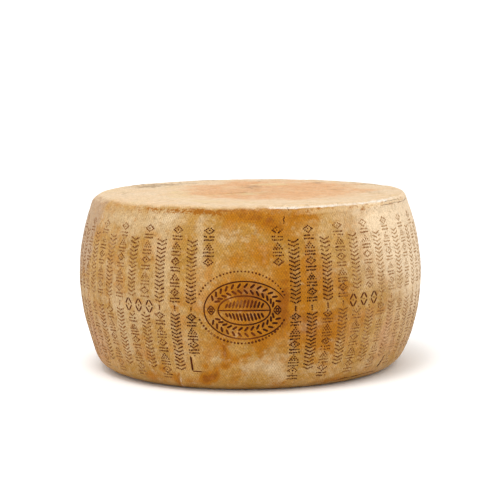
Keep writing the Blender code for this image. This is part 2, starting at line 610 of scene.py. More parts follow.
# %% Scuffs and straw clouds on the top: (x, y), radii along x and y, and strength
SCUFFS = (
    ((-0.140, 0.084), (0.022, 0.022), 1.0),
    ((-0.118, 0.114), (0.026, 0.016), 0.9),
    ((-0.084, 0.134), (0.020, 0.010), 0.7),
    ((0.004, 0.076), (0.016, 0.022), 0.7),
    ((0.095, 0.122), (0.006, 0.012), 1.0),
    ((0.014, 0.160), (0.004, 0.008), 0.9),
    ((0.118, 0.018), (0.010, 0.010), 0.7),
    ((-0.165, -0.010), (0.010, 0.030), 0.40),
    ((0.160, -0.030), (0.012, 0.030), 0.40),
    ((0.150, 0.090), (0.030, 0.010), 0.45),
    ((-0.050, 0.178), (0.022, 0.004), 0.8),
)
STRAW_PLACES = (
    ((-0.010, -0.020), (0.035, 0.022), 0.8),
    ((0.025, 0.108), (0.045, 0.012), 0.8),
    ((-0.095, 0.020), (0.020, 0.080), 0.5),
    ((-0.060, -0.130), (0.060, 0.020), 0.5),
)


def soft_ovals(points, places):
    """Soft ovals on the top, added: each has (x, y), radii along x and y, and a strength."""
    total = np.zeros(points.shape[:-1])
    for (x, y), (wide, deep), strength in places:
        across, back = (points[..., 0] - x) / wide, (points[..., 1] - y) / deep
        total += strength * np.exp(-(across**2) - back**2)
    return total


# %% Keep the masks on the mesh
face_mask = smooth(skin_normals[..., 2], 0.72, 0.95)
# Brown stain under the rim with painted shade, and painted highlights.
stain_and_shade_mask = rim_stain_and_shade(turned_from(azimuths, 0.0), heights, bend)
painted_highlight_mask = painted_highlight(turned_from(azimuths, 0.0), heights, radii)
fine_bend = [ripples(skin, seed, 0.040, 0.008, 40) for seed in (23, 24)]
blush_mask = blush(skin, bend + 0.4 * np.array(fine_bend)) * (face_mask > 0)


def keep_mask(piece, name, values, poles=(0.0, 0.0)):
    """Stores one number for each point of a piece under a plain name, with the poles' own last."""
    attribute = piece.data.attributes.new(name, "FLOAT", "POINT")
    flat = np.concatenate([np.ravel(values), poles])[: len(piece.data.vertices)]
    attribute.data.foreach_set("value", flat.astype(np.float32))


keep_mask(rind, "orange", orange_mask, (0.3, 0.0))
keep_mask(rind, "pale", pale_mask)
keep_mask(rind, "rosy", rosy_mask)
keep_mask(rind, "ash", ash(turned_from(azimuths, 0.0), heights))
# Bleached right side, with painted light lower down on the far right.
keep_mask(rind, "bleached_and_lit", bleached_and_lit_side(turned_from(azimuths, 0.0), heights))
# Painted highlights on the rim's edge, the fold and the ridge.
keep_mask(rind, "painted_highlight", painted_highlight_mask)
keep_mask(rind, "lip", lip(turned_from(azimuths, 0.0), heights))
# Brown stain under the rim, with painted shade in the crease under the lip and beside the fold.
keep_mask(rind, "stain", stain_and_shade_mask)
keep_mask(rind, "face", face_mask, (0.0, 1.0))
keep_mask(rind, "blush", blush_mask, (0.0, 1.0))
back_edge = 0.75 * hump(radii - 0.1965, 0.0050) * smooth(skin[..., 1], 0.02, 0.12)
keep_mask(rind, "scuff", (soft_ovals(skin, SCUFFS) + back_edge) * (face_mask > 0))
keep_mask(rind, "straw", soft_ovals(skin, STRAW_PLACES) * (face_mask > 0))
print("masks:", ", ".join(item.name for item in rind.data.attributes if item.domain == "POINT"))

# %% [markdown]
# ## A map that goes round
#
# Fresh cheese drains in cloth, and the cloth leaves a fine weave of slanting ribs in the skin.
# A weave has to follow the surface, so the rind gets a UV map: U counts turns round the wheel and
# V is the distance up the outline, in turns of the same size. The last column ends at U = 1 and
# not at 0, so that the pattern closes without a smear.

# %% UV map of turns and outline length
def outline_length():
    """Length along the outline up to each ring, in turns of the belly's circumference."""
    step = np.hypot(np.diff(ring_radius), np.diff(ring_height))
    return np.concatenate([[0], np.cumsum(step)]) / (math.tau * BELLY_RADIUS)


def map_round(piece, rings, columns, lengths):
    """U = column / columns, V = outline length. The poles take the middle of their triangle."""
    column = np.arange(columns)
    low, high = lengths[:-1, None] + 0 * column, lengths[1:, None] + 0 * column
    left, right = column / columns + 0 * low, (column + 1) / columns + 0 * low
    quad_uv = np.stack([left, low, right, low, right, high, left, high], axis=-1)
    middle, after = (column + 0.5) / columns, (column + 1) / columns
    first, last = lengths[0] + 0 * middle, lengths[-1] + 0 * middle
    foot_uv = np.stack([middle, first * 0, after, first, column / columns, first], axis=-1)
    top_uv = np.stack([middle, last * 1.02, column / columns, last, after, last], axis=-1)
    flat = np.concatenate([quad_uv.ravel(), foot_uv.ravel(), top_uv.ravel()])
    layer = piece.data.uv_layers.new(name="round")
    layer.data.foreach_set("uv", flat.astype(np.float32))


map_round(rind, *azimuths.shape, outline_length())
print("outline length, mm:", round(math.tau * BELLY_RADIUS * float(outline_length()[-1]) / MM))

# %% [markdown]
# ## The finish of the rind
#
# The colour of an old rind is built up in layers: a tan skin, cloudy stains of orange oil, pale
# dry patches, a bleached side, soaked ink, a browned rim, specks, and the cloth's weave. Painted
# light is laid in among them: paler patches low on the left and on the far right, painted shade
# in the crease under the lip and beside the fold, and painted highlights on the rim's edge, the
# fold and the ridge.
# One large picture could be painted for it. Here the weave is ribs on the UV map, and the rest
# are layers of noise on the object's own coordinates. The masks say where each stain is, so that
# any layer can be changed alone. Small helper functions make the node tree short enough to read.

# %% Helpers for node materials
SIDE_LIGHT = 1.36
TOP_LIGHT = 1.62


def colour(red, green, blue, light=SIDE_LIGHT):
    """Base colour of a place that is to be seen as (red, green, blue) of 255 under some light."""
    seen = np.array([red, green, blue]) / 255
    linear = np.where(seen <= 0.04045, seen / 12.92, ((seen + 0.055) / 1.055) ** 2.4)
    return (*(linear / light).tolist(), 1.0)


def top_tone(red, green, blue):
    """The same for the top face, which gets more light than the side."""
    return colour(red, green, blue, TOP_LIGHT)


class Finish:
    """One node material, with short calls for the few kinds of node that the finishes use."""

    def __init__(self, name):
        self.material = bpy.data.materials.new(name)
        self.material.use_nodes = True
        self.tree = self.material.node_tree
        self.shader = self.tree.nodes["Principled BSDF"]
        self.place = self.tree.nodes.new("ShaderNodeTexCoord").outputs["Object"]

    def feed(self, socket, value):
        """Links an output to a socket, or sets the socket when the value is plain."""
        if isinstance(value, bpy.types.NodeSocket):
            self.tree.links.new(value, socket)
        else:
            socket.default_value = value

    def mask(self, name):
        """A named number from the mesh."""
        found = self.tree.nodes.new("ShaderNodeAttribute")
        found.attribute_name = name
        return found.outputs["Fac"]

    def noise(self, scale, detail=4.0, roughness=0.55, warp=0.0):
        """Cloudy noise from 0 to 1, with scale bumps to the metre."""
        node = self.tree.nodes.new("ShaderNodeTexNoise")
        self.feed(node.inputs["Vector"], self.place)
        settings = (("Scale", scale), ("Detail", detail), ("Roughness", roughness), ("Distortion", warp))
        for name, number in settings:
            node.inputs[name].default_value = number
        return node.outputs["Fac"]

    def sum(self, operation, first, second):
        """First (operation) second, for two numbers."""
        node = self.tree.nodes.new("ShaderNodeMath")
        node.operation = operation
        self.feed(node.inputs[0], first)
        self.feed(node.inputs[1], second)
        return node.outputs[0]

    def ramp(self, value, low, high, start=0.0, end=1.0):
        """Start where the value is low, end where it is high, and a smooth step between."""
        node = self.tree.nodes.new("ShaderNodeMapRange")
        node.interpolation_type = "SMOOTHSTEP"
        self.feed(node.inputs["Value"], value)
        for name, number in (("From Min", low), ("From Max", high), ("To Min", start), ("To Max", end)):
            node.inputs[name].default_value = number
        return node.outputs["Result"]

    def mix(self, amount, under, over, blend="MIX"):
        """The colour over laid on the colour under, as much as amount says."""
        node = self.tree.nodes.new("ShaderNodeMix")
        node.data_type = "RGBA"
        node.blend_type = blend
        sockets = {socket.identifier: socket for socket in node.inputs}
        self.feed(sockets["Factor_Float"], amount)
        self.feed(sockets["A_Color"], under)
        self.feed(sockets["B_Color"], over)
        return next(socket for socket in node.outputs if socket.identifier == "Result_Color")

    def bump(self, height, distance, strength=1.0, under=None):
        """A normal bent by a height in metres times distance."""
        node = self.tree.nodes.new("ShaderNodeBump")
        node.inputs["Strength"].default_value = strength
        node.inputs["Distance"].default_value = distance
        self.feed(node.inputs["Height"], height)
        if under is not None:
            self.feed(node.inputs["Normal"], under)
        return node.outputs["Normal"]


# %% The weave of the cloth
RIBS_IN_A_TURN = 420
RIBS_UP = 268
CROSS_RIBS_UP = 252


def weave(finish):
    """Two sets of slanting ribs, sin(U ribs + V ribs) and sin(U ribs - V ribs), 0 to 1."""
    around = finish.tree.nodes.new("ShaderNodeUVMap")
    around.uv_map = "round"
    apart = finish.tree.nodes.new("ShaderNodeSeparateXYZ")
    finish.feed(apart.inputs[0], around.outputs[0])
    turns = finish.sum("MULTIPLY", apart.outputs["X"], RIBS_IN_A_TURN * math.tau)
    rise = finish.sum("MULTIPLY", apart.outputs["Y"], RIBS_UP * math.tau)
    cross = finish.sum("MULTIPLY", apart.outputs["Y"], CROSS_RIBS_UP * math.tau)
    first = finish.sum("SINE", finish.sum("ADD", turns, rise), 0.0)
    second = finish.sum("SINE", finish.sum("SUBTRACT", turns, cross), 0.0)
    both = finish.sum("ADD", first, finish.sum("MULTIPLY", second, 0.9))
    return finish.ramp(both, -1.9, 1.9)


# %% Rind: the side's layers
TAN = colour(199, 154, 88)
HONEY = colour(176, 127, 46)
ORANGE = colour(178, 110, 0)
DEEP_ORANGE = colour(150, 82, 0)
ROSY = colour(196, 144, 98)
ASH = colour(192, 160, 128)
PALE = colour(206, 173, 126)
CREAM_SIDE = colour(230, 203, 163)
BLEACHED_AND_LIT = colour(255, 228, 190)
# Brown of the rim's stain and of the painted shade in the creases.
BROWN_STAIN_AND_SHADE = colour(158, 94, 0)
FLECK = colour(148, 100, 36)
DUST = colour(224, 192, 146)
SPECK = colour(124, 76, 24)
SOAKED = colour(140, 84, 20)
LIP = colour(226, 188, 136)
# Near-white of the painted highlights.
PAINTED_HIGHLIGHT = colour(255, 249, 238)


def cloud(finish, scale, low, high, detail=6.0, roughness=0.62, warp=0.4):
    """Cloudy noise moved to run from low to high, most of it near the middle."""
    return finish.ramp(finish.noise(scale, detail, roughness, warp), 0.25, 0.75, low, high)


def laid_over(finish, ground, mask, noise, low, high, strength, tone):
    """A stain: mask and noise added, and the tone laid on where the sum passes from low to high."""
    amount = finish.ramp(finish.sum("ADD", mask, noise), low, high, 0.0, strength)
    return finish.mix(amount, ground, tone)


def side_colour(finish):
    """The side: tan and honey clouds, stains, pale patches, painted light, soaked ink, a brown rim with
    painted shade, and painted highlights.
    """
    ground = finish.mix(cloud(finish, 18, 0.0, 1.0, 5, 0.52), TAN, HONEY)
    broad = cloud(finish, 24, -0.42, 0.42, 5, 0.55, 0.6)
    fine = cloud(finish, 110, -0.22, 0.22, 5, 0.62)
    stain = finish.sum("ADD", broad, fine)
    dusty = finish.ramp(finish.noise(187, 4, 0.65, 0.3), 0.48, 0.72, 0.0, 0.45)
    ground = finish.mix(dusty, ground, DUST)
    ground = laid_over(finish, ground, finish.mask("rosy"), broad, 0.30, 1.10, 0.90, ROSY)
    orange = finish.mask("orange")
    ground = laid_over(finish, ground, orange, stain, -0.15, 0.80, 0.95, ORANGE)
    rusty = finish.sum("ADD", stain, cloud(finish, 95, -0.35, 0.35, 5, 0.68))
    ground = laid_over(finish, ground, orange, rusty, 0.80, 1.60, 0.90, DEEP_ORANGE)

    pale = finish.mask("pale")
    thin = finish.sum("MULTIPLY", fine, -1.0)
    patchy = finish.sum("ADD", cloud(finish, 38, -0.29, 0.29, 5, 0.64, 0.5), thin)
    # Pale patches: dry rind, and painted light in the two low on the left.
    ground = laid_over(finish, ground, pale, patchy, 0.08, 0.95, 0.92, PALE)
    ground = laid_over(finish, ground, pale, patchy, 0.80, 1.70, 0.85, CREAM_SIDE)
    faint = cloud(finish, 34, -0.16, 0.16, 5, 0.6, 0.5)
    # Bleached right side, with painted light lower down on the far right.
    ground = laid_over(finish, ground, finish.mask("bleached_and_lit"), faint, 0.05, 0.95, 0.90, BLEACHED_AND_LIT)
    ground = laid_over(finish, ground, finish.mask("ash"), patchy, 0.10, 0.95, 0.80, ASH)
    flecked = finish.ramp(finish.noise(230, 4, 0.65, 0.3), 0.48, 0.72, 0.0, 0.46)
    ground = finish.mix(flecked, ground, FLECK)

    bled = cloud(finish, 260, -0.25, 0.25, 4, 0.6)
    ground = laid_over(finish, ground, finish.mask("soaked"), bled, 0.15, 1.25, 0.62, SOAKED)
    ground = laid_over(finish, ground, finish.mask("lip"), stain, 0.10, 1.00, 0.65, LIP)
    stain_edge_noise = cloud(finish, 150, -1.10, 0.45, 6, 0.7, 0.8)
    # Brown stain under the rim, and painted shade in the crease under the lip and beside the fold.
    ground = laid_over(finish, ground, finish.mask("stain"), stain_edge_noise, 0.02, 0.70, 1.00, BROWN_STAIN_AND_SHADE)
    # Painted highlights: nearly white lines on the rim's edge on the right, on the fold and on the
    # ridge.
    ground = laid_over(finish, ground, finish.mask("painted_highlight"), fine, 0.20, 0.70, 0.90, PAINTED_HIGHLIGHT)
    dark_specks = finish.ramp(finish.noise(260, 3, 0.6), 0.64, 0.76, 0.0, 0.40)
    return finish.mix(dark_specks, ground, SPECK)


# %% Rind: the top face's layers
CREAM = top_tone(247, 218, 178)
CREAM_DEEP = top_tone(242, 204, 156)
BLUSH = top_tone(238, 178, 118)
STRAW = top_tone(244, 212, 154)
SCUFF = top_tone(152, 116, 66)


def top_colour(finish):
    """The top: cream with a blush of pink-orange, straw clouds in both, and grey scuffs."""
    ground = finish.mix(cloud(finish, 22, 0.0, 1.0, 8, 0.66), CREAM, CREAM_DEEP)
    broad = cloud(finish, 26, -0.34, 0.34, 8, 0.7, 0.8)
    pink = finish.sum("ADD", broad, cloud(finish, 110, -0.22, 0.22))
    ground = laid_over(finish, ground, finish.mask("blush"), pink, 0.05, 1.20, 1.00, BLUSH)
    straw = cloud(finish, 17, -0.6, 0.6, 6, 0.6, 1.0)
    ground = laid_over(finish, ground, finish.mask("straw"), straw, 0.20, 0.90, 0.70, STRAW)
    scuff = cloud(finish, 140, -0.80, 0.65, 5, 0.7, 1.0)
    return laid_over(finish, ground, finish.mask("scuff"), scuff, 0.10, 0.95, 0.75, SCUFF)


# %% Rind: colours, gloss and fine relief together
RIND_SHINE = 0.10


def rind_finish():
    """Side and top colours by the face mask, shaded by grain and weave, with a soft uneven gloss."""
    finish = Finish("rind_finish")
    ribs = weave(finish)
    both = finish.mix(finish.mask("face"), side_colour(finish), top_colour(finish))
    grain = finish.ramp(finish.noise(580, 3, 0.7), 0.30, 0.70, 0.82, 1.18)
    mottle = finish.ramp(finish.noise(150, 4, 0.6), 0.30, 0.70, 0.94, 1.06)
    worn = cloud(finish, 40, 0.25, 1.0, 4, 0.6, 0.5)
    seen = finish.sum("MULTIPLY", finish.sum("SUBTRACT", ribs, 0.5), worn)
    rib_shade = finish.ramp(seen, -0.5, 0.5, 0.86, 1.13)
    shade = finish.sum("MULTIPLY", finish.sum("MULTIPLY", grain, mottle), rib_shade)
    grey = finish.tree.nodes.new("ShaderNodeCombineColor")
    for socket in grey.inputs:
        finish.feed(socket, shade)
    painted = finish.mix(1.0, both, grey.outputs[0], "MULTIPLY")
    finish.feed(finish.shader.inputs["Base Color"], painted)
    gloss = finish.ramp(finish.noise(70, 4, 0.6), 0.3, 0.7, 0.44, 0.60)
    finish.feed(finish.shader.inputs["Roughness"], gloss)
    finish.shader.inputs["Specular IOR Level"].default_value = RIND_SHINE

    woven = finish.bump(ribs, 0.00010)
    gritty = finish.bump(finish.noise(420, 4, 0.65), 0.0006, 0.8, woven)
    lumpy = finish.bump(finish.noise(90, 4, 0.55), 0.0010, 0.8, gritty)
    finish.feed(finish.shader.inputs["Normal"], lumpy)
    return finish.material


rind.data.materials.append(rind_finish())
print("rind finish has", len(rind.data.materials[0].node_tree.nodes), "nodes")
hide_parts("cheese_wheel")
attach(rind, "root")

# %% [markdown]
# ## Marks pressed into the side
#
# The marks are pricked and pressed into the young rind with a band of pins, and ink fills them.
# They could be cut with a Boolean or drawn with a texture. A texture bakes too coarsely for dots
# two millimetres across, so every dot is a tiny solid of its own. To lie on the uneven skin, each
# reads its place from the skin's own grid.

# %% A place on the skin
side_rings = np.arange(first_side_ring, last_side_ring + 1)


def grid_place(azimuth, height):
    """Ring below, column to the left, and the shares of the way up and across to the next ones."""
    row = np.interp(height, ring_height[side_rings], side_rings)
    low = np.minimum(row.astype(int), last_side_ring - 1)
    column = (azimuth % math.tau) / math.tau * COLUMNS_OF_GRID
    return low, column.astype(int) % COLUMNS_OF_GRID, row - low, column % 1.0


def on_rind(azimuth, height):
    """Place and outward normal at a turn and height: a blend of the four grid points round it."""
    low, left, up, aside = grid_place(azimuth, height)
    right = (left + 1) % COLUMNS_OF_GRID
    up, aside = up[..., None], aside[..., None]

    def blend(field):
        under = field[low, left] * (1 - aside) + field[low, right] * aside
        over = field[low + 1, left] * (1 - aside) + field[low + 1, right] * aside
        return under * (1 - up) + over * up

    return blend(skin), unit(blend(skin_normals))


belly_front = on_rind(np.array([0.0]), np.array([BELLY_HEIGHT]))[0][0]
print("front of the belly at", np.round(belly_front / MM, 1), "mm")

# %% [markdown]
# ## One column of pin pricks
#
# Each column is a ribbon of dotted ornament about 13 mm wide. Half of it is a chain of lozenges,
# rungs and small triangles, and half is an ear of grain, with a dash between them. An Array
# modifier could repeat a motif. Here a motif is a few strokes with the pins at even steps along
# them, or rows of pins, so that each pin can later move or fail by itself.

# %% Strokes into pins
PIN_STEP = 0.0023
LOZENGE_TALL = 0.0040
RUNG_RISE = 0.0019
PYRAMID_ACROSS, PYRAMID_UP, PYRAMID_TOP = 0.0034, 0.0022, 0.0055
GRAIN_RISE = 0.0026
GRAIN_FEET = (-0.0036, 0.0010)


def pins_along(*stroke):
    """Points at even steps along the straight lines from each corner of a stroke to the next."""
    corners = np.array(stroke, float)
    runs = []
    for start, end in zip(corners[:-1], corners[1:]):
        count = max(1, round(float(np.linalg.norm(end - start)) / PIN_STEP))
        runs.append(start + (end - start) * np.arange(count)[:, None] / count)
    if np.linalg.norm(corners[0] - corners[-1]) > PIN_STEP / 2:
        runs.append(corners[-1:])
    return np.concatenate(runs)


def lozenge():
    """A lozenge as wide as the column, with a pin in the middle."""
    half, tall = MARK_HALF, LOZENGE_TALL
    outline = pins_along((-half, 0), (0, tall), (half, 0), (0, -tall), (-half, 0))
    return np.concatenate([outline, [(0, 0)]])


def rungs():
    """Two straight bars across the column."""
    bars = [pins_along((-MARK_HALF, up), (MARK_HALF, up)) for up in (-RUNG_RISE, RUNG_RISE)]
    return np.concatenate(bars)


def pyramid():
    """A triangle of pins: rows of four, three, two and one, each centred on the column."""
    rows = []
    for count in (4, 3, 2, 1):
        across = (np.arange(count) - (count - 1) / 2) * PYRAMID_ACROSS
        rows.append(np.stack([across, across * 0 + PYRAMID_TOP - PYRAMID_UP * count], axis=-1))
    return np.concatenate(rows)


def grains():
    """Two pairs of slanting grains of an ear, each a V of pins, one above the other."""
    half, rise = MARK_HALF, GRAIN_RISE
    pairs = [pins_along((-half, foot + rise), (0, foot), (half, foot + rise)) for foot in GRAIN_FEET]
    return np.concatenate(pairs)


def run_of_cells(motifs, count, top, foot):
    """The motifs in turn, one to a cell, from the top down to the foot: (across, height) of pins."""
    cell = (top - foot) / count
    middles = [top - cell * (place + 0.5) for place in range(count)]
    cells = [motifs[place % len(motifs)]() + (0, middle) for place, middle in enumerate(middles)]
    return np.concatenate(cells)


print("pins in a lozenge:", len(lozenge()), "in rungs:", len(rungs()), "in grains:", len(grains()))

# %% [markdown]
# ## The columns round the wheel
#
# The columns stand 5.29 degrees apart and leave a free strip at the stamp. Every second one
# starts lower and is turned end for end. The columns break off around each group of lozenge
# marks. An Array modifier on a circle would set them all alike. A real band presses unevenly, so
# here each column has its own sway and lift, the pins are jittered, and a few are missing.

# %% Lay out all the pins
SHORT_COLUMNS = (math.radians(-13.0), math.radians(8.7))
SHORT_CELLS, SHORT_FOOT = 5, 0.1580
CHAIN_CELLS, EAR_CELLS = 10, 8
MARK_GROUPS = ((math.radians(-38.0), 0.1062), (math.radians(37.7), 0.1106))
GROUP_HALF_TURN = math.radians(6.3)
GROUP_HALF_TALL = 0.0112
CORNER_TURN = math.radians(-18.3)
CORNER_TOP = 0.0465

CHAIN = (lozenge, rungs, pyramid, rungs)
EAR = (grains,)

SHIFT_MOST, SHIFT_TURN, SHIFT_SPREAD = (math.radians(angle) for angle in (1.7, -62, 28))
LEAN_MOST, LEAN_TURN, LEAN_SPREAD = (math.radians(angle) for angle in (1.2, -48, 30))
BAND_RISE = 0.0026


def column_pins(kind):
    """Pins of a whole column as (chain, ear). Kind 0 has its chain on top, kind 1 its ear."""
    if kind == 0:
        chain = run_of_cells(CHAIN, CHAIN_CELLS, HIGH_TOP, UPPER_END)
        return chain, run_of_cells(EAR, EAR_CELLS, LOWER_START, HIGH_FOOT)
    chain = run_of_cells(CHAIN, CHAIN_CELLS, LOWER_START, LOW_FOOT)
    return chain, run_of_cells(EAR, EAR_CELLS, LOW_TOP, UPPER_END)


def sway(turn, height):
    """Sideways drift of the columns on the left: a shift, and a lean that grows towards the foot."""
    below = (HIGH_TOP - height) / (HIGH_TOP - LOW_FOOT)
    shift = SHIFT_MOST * hump(turned_from(turn, SHIFT_TURN), SHIFT_SPREAD)
    lean = LEAN_MOST * hump(turned_from(turn, LEAN_TURN), LEAN_SPREAD)
    return -shift - lean * below


def lift(turn):
    """Height that the band sat up on the right: its rise times a share that begins and ends."""
    ends = 1 - smooth(turn, math.radians(80), math.radians(120))
    return BAND_RISE * smooth(turn, math.radians(17), math.radians(30)) * ends


def spread(turn, pins):
    """Turns and heights of pins given across and up a column that stands at a turn."""
    across, height = pins[:, 0], pins[:, 1] + lift(turn)
    return np.stack([turn + across / side_radius(height) + sway(turn, height), height], axis=-1)


def all_columns():
    """(turn, height) of every pin of the chains with their dashes, and of the ears."""
    middle = (UPPER_END + LOWER_START) / 2
    dash = pins_along((0, middle - PIN_STEP), (0, middle + PIN_STEP))
    chain, ear = [], []
    for step in range(COLUMN_COUNT):
        turn = FIRST_COLUMN + COLUMN_STEP * step
        chain_pins, ear_pins = column_pins((step + 1) % 2)
        chain += [spread(turn, chain_pins), spread(turn, dash)]
        ear.append(spread(turn, ear_pins))
    for turn in SHORT_COLUMNS:
        chain.append(spread(turn, run_of_cells(CHAIN, SHORT_CELLS, HIGH_TOP, SHORT_FOOT)))
    return np.concatenate(chain), np.concatenate(ear)


def thin_out(pins, seed, lost=0.02, jitter=0.00018):
    """Drops the pins under the mark groups and the corner mark and a few more, and jitters them."""
    draw = np.random.default_rng(seed)
    turn, height = pins.T
    keep = draw.random(len(pins)) > lost
    for group_turn, group_height in MARK_GROUPS:
        near = np.abs(turned_from(turn, group_turn)) < GROUP_HALF_TURN
        keep &= ~(near & (np.abs(height - group_height) < GROUP_HALF_TALL))
    at_corner = np.abs(turned_from(turn, CORNER_TURN)) < COLUMN_STEP / 2
    keep &= ~(at_corner & (height < CORNER_TOP))
    shift = draw.normal(scale=jitter, size=(len(pins), 2)) / (BELLY_RADIUS, 1.0)
    return (pins + shift)[keep]


chain_pins, ear_pins = all_columns()
chain_pins, ear_pins = thin_out(chain_pins, 31), thin_out(ear_pins, 32)
print("pins in the chains:", len(chain_pins), "and in the ears:", len(ear_pins))

# %% [markdown]
# ## Pins as solids
#
# A prick is a round dent with a dark floor. Geometry Nodes could set a copy of one dot at each
# place. With fourteen thousand of them a dot has to stay small: eight corners, a dished top and a
# point underneath that is sunk in the rind, sixteen triangles in all. The dots of one kind are
# joined into one mesh by adding a table of corner offsets to a table of places.
#
# The ink is strongest near the stamp and round the back, and weakest high on the right.

# %% Dots as joined meshes
PIN_CORNERS = 8
PIN_RADIUS = 0.00104
PIN_PROUD, PIN_DISH, PIN_ROOT = 0.10 * MM, 0.05 * MM, 0.60 * MM
INK_LEAST, INK_FRONT, INK_BEHIND, INK_RUBBED = 0.22, 0.54, 0.42, 0.40
INK_PLACES = (
    (-21.0, 85, 24, 42, 0.42),
    (14.0, 110, 22, 90, 0.42),
    (21.0, 130, 16, 80, 0.25),
    (-14.0, 185, 10, 30, 0.15),
)


def ink_at(turn, height):
    """How dark the ink is: least, humps in front, behind and at places, ripples, less the rubbed."""
    aside = turned_from(turn, 0.0)
    behind = hump(turned_from(turn, math.pi), math.radians(70))
    near = INK_LEAST + INK_FRONT * hump(aside, math.radians(40)) + INK_BEHIND * behind
    near = near + patches(turn, height, (0.0, 0.0), INK_PLACES)
    high = 0.35 + 0.65 * smooth(height, 0.08, 0.16)
    worn = INK_RUBBED * smooth(aside, math.radians(22), math.radians(50)) * high
    place = np.stack([BELLY_RADIUS * np.sin(turn), -BELLY_RADIUS * np.cos(turn), height], axis=-1)
    return near - worn + 0.14 * ripples(place, 33, 0.080, 0.012)


def dots(name, places, seed, radius=PIN_RADIUS):
    """Eight-sided dished dots at (turn, height) places, each a closed solid sunk in the rind."""
    draw = np.random.default_rng(seed)
    centre, normal = on_rind(*places.T)
    aside = unit(np.cross((0.0, 0.0, 1.0), normal))
    upward = np.cross(normal, aside)
    size = radius * (1 + 0.13 * draw.normal(size=len(places)).clip(-2, 2))
    corner = np.arange(PIN_CORNERS) * math.tau / PIN_CORNERS
    flat = aside[:, None] * np.cos(corner)[:, None] + upward[:, None] * np.sin(corner)[:, None]
    rim = centre[:, None] + flat * size[:, None, None] + normal[:, None] * PIN_PROUD
    floor = centre + normal * PIN_DISH
    root = centre - normal * PIN_ROOT
    points = np.concatenate([rim, floor[:, None], root[:, None]], axis=1)

    here = np.arange(PIN_CORNERS)
    after = np.roll(here, -1)
    lid = np.stack([here, after, here * 0 + PIN_CORNERS], axis=-1)
    cone = np.stack([after, here, here * 0 + PIN_CORNERS + 1], axis=-1)
    one = np.concatenate([lid, cone])
    start = np.arange(len(places))[:, None, None] * (PIN_CORNERS + 2)
    piece = make_piece(name, points.reshape(-1, 3), (one + start).reshape(-1, 3))
    darkness = ink_at(*places.T) + 0.10 * draw.normal(size=len(places))
    keep_mask(piece, "ink", np.repeat(darkness, PIN_CORNERS + 2))
    return piece


chain_dots = dots("chain_marks", chain_pins, 41)
ear_dots = dots("ear_marks", ear_pins, 42)


def soaked(pins):
    """Ink drawn into the skin: each pin's ink shared among the four grid points round it."""
    low, left, up, aside = grid_place(*pins.T)
    ink = ink_at(*pins.T)
    total = np.zeros(azimuths.shape)
    for over, share_up in ((0, 1 - up), (1, up)):
        for across, share_aside in ((0, 1 - aside), (1, aside)):
            place = (low + over, (left + across) % COLUMNS_OF_GRID)
            np.add.at(total, place, ink * share_up * share_aside)
    return total


soaked_mask = soaked(np.concatenate([chain_pins, ear_pins]))
keep_mask(rind, "soaked", soaked_mask)
print("most ink soaked into one point:", round(float(soaked_mask.max()), 2))

# %% [markdown]
# ## Pressed strokes
#
# The stamp, the marks beside it, the corner mark and the cracks are lines of a width, not dots.
# A curve with a bevel would give round worms that stand up from the skin. A flat ribbon with a
# hollow middle, carried along a path on the skin, gives the look of a pressed line. Its ends
# narrow and are closed by caps.

# %% A ribbon carried along a path
RIBBON_SECTION = np.array(
    [(-0.50, -0.15), (-0.34, 0.11), (0.0, 0.05), (0.34, 0.11), (0.50, -0.15), (0.0, -0.60)]
)


def ribbon(turns, rises, width, closed=False):
    """Points and faces of a ribbon: the section's first number is in widths, its second in mm."""
    middle, normal = on_rind(turns, rises)
    if closed:
        along = unit(np.roll(middle, -1, axis=0) - np.roll(middle, 1, axis=0))
        narrow = np.ones(len(turns))
    else:
        along = unit(np.gradient(middle, axis=0))
        share = np.linspace(-1, 1, len(turns))
        narrow = np.sqrt(np.maximum(1 - np.abs(share) ** 8, 0.02))
    aside = np.cross(along, normal)
    breadth = (np.broadcast_to(width, turns.shape) * narrow)[:, None, None]
    points = (
        middle[:, None]
        + aside[:, None] * RIBBON_SECTION[:, 0][:, None] * breadth
        + normal[:, None] * RIBBON_SECTION[:, 1][:, None] * MM
    )
    around = len(RIBBON_SECTION)
    here = np.arange(len(turns) * around).reshape(-1, around)
    after = np.roll(here, -1, axis=0) if closed else here[1:]
    first = here if closed else here[:-1]
    side, side_after = np.roll(first, -1, axis=1), np.roll(after, -1, axis=1)
    walls = np.stack([first, side, side_after, after], axis=-1).reshape(-1, 4)
    caps = np.empty((0, 3), int)
    if not closed:
        second = np.arange(1, around - 1)
        fan = np.stack([second * 0, second, second + 1], axis=-1)
        caps = np.concatenate([fan[:, ::-1], fan + here[-1, 0]])
    return points.reshape(-1, 3), walls, caps


def ribbons(name, strokes, inks):
    """One piece of many ribbons, each with its own strength of ink."""
    points, walls, caps, dark, start = [], [], [], [], 0
    for stroke, ink in zip(strokes, inks):
        own_points, own_walls, own_caps = ribbon(*stroke)
        points.append(own_points)
        walls.append(own_walls + start)
        caps.append(own_caps + start)
        corners = len(RIBBON_SECTION)
        dark.append(np.repeat(np.broadcast_to(ink, len(own_points) // corners), corners))
        start += len(own_points)
    piece = make_piece(name, np.concatenate(points), np.concatenate(walls), np.concatenate(caps))
    keep_mask(piece, "ink", np.concatenate(dark))
    return piece


# %% [markdown]
# ## The oval stamp
#
# The seal is an oval of two rings with leafy garlands between them, an ear of grain lying across
# the middle, a lozenge at each end, and an arc of larger dots above and below. It could be drawn
# flat and wrapped with a Shrinkwrap modifier. Here it is laid out in metres from its own middle,
# and each point is then turned into an angle and a height on the belly, which keeps its size. The
# ink has run dry towards the upper left and the foot of the seal, and is darkest at the right.

